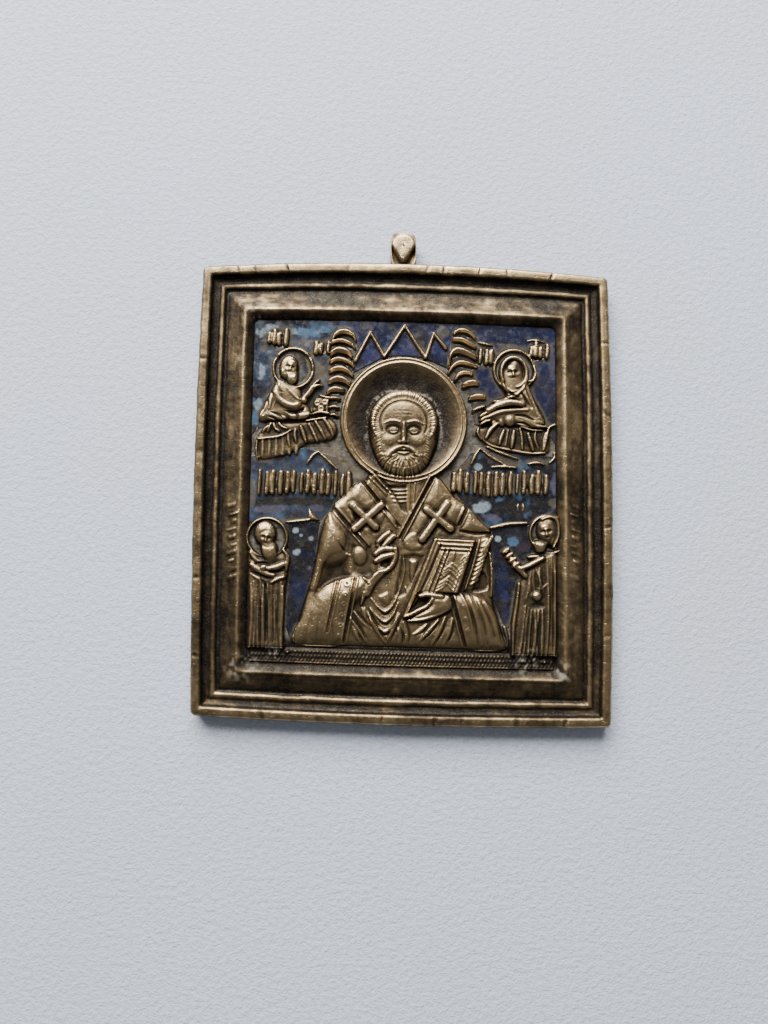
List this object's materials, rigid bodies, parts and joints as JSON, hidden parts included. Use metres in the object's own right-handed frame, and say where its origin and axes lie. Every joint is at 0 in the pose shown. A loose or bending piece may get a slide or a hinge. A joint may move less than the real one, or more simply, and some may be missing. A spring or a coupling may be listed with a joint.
{
  "type": "icon panel",
  "caption": "Cast brass icon panel with moulded frame, relief figures, enamelled ground and a hanging loop.",
  "frame": {"origin": "centre of the flat back of the plate", "axes": "+Z out of the face, +Y towards the hanging loop, +X to the right as the face is seen"},
  "size_m": [0.1026, 0.1207, 0.0055],
  "materials": {
    "brass": "cast brass, worn bright on the high parts, black brown patina in the recesses",
    "enamel_blue": "glossy cobalt blue enamel, pitted and worn",
    "enamel_pale": "glossy pale blue enamel with white streaks, pitted and worn",
    "enamel_dark": "glossy blue black enamel with pale specks, pitted and worn"
  },
  "bodies": {
    "root": {"casting": "brass", "enamel_top_left": "enamel_pale", "enamel_top_right": "enamel_blue", "enamel_ray_left": "enamel_blue", "enamel_ray_right": "enamel_blue", "enamel_ray_gap_left": "enamel_blue", "enamel_ray_gap_middle": "enamel_blue", "enamel_ray_gap_right": "enamel_blue", "enamel_cloud_left": "enamel_pale", "enamel_name_left": "enamel_dark", "enamel_name_right": "enamel_pale", "enamel_low_left": "enamel_dark", "enamel_low_right": "enamel_blue"}
  },
  "joints": []
}
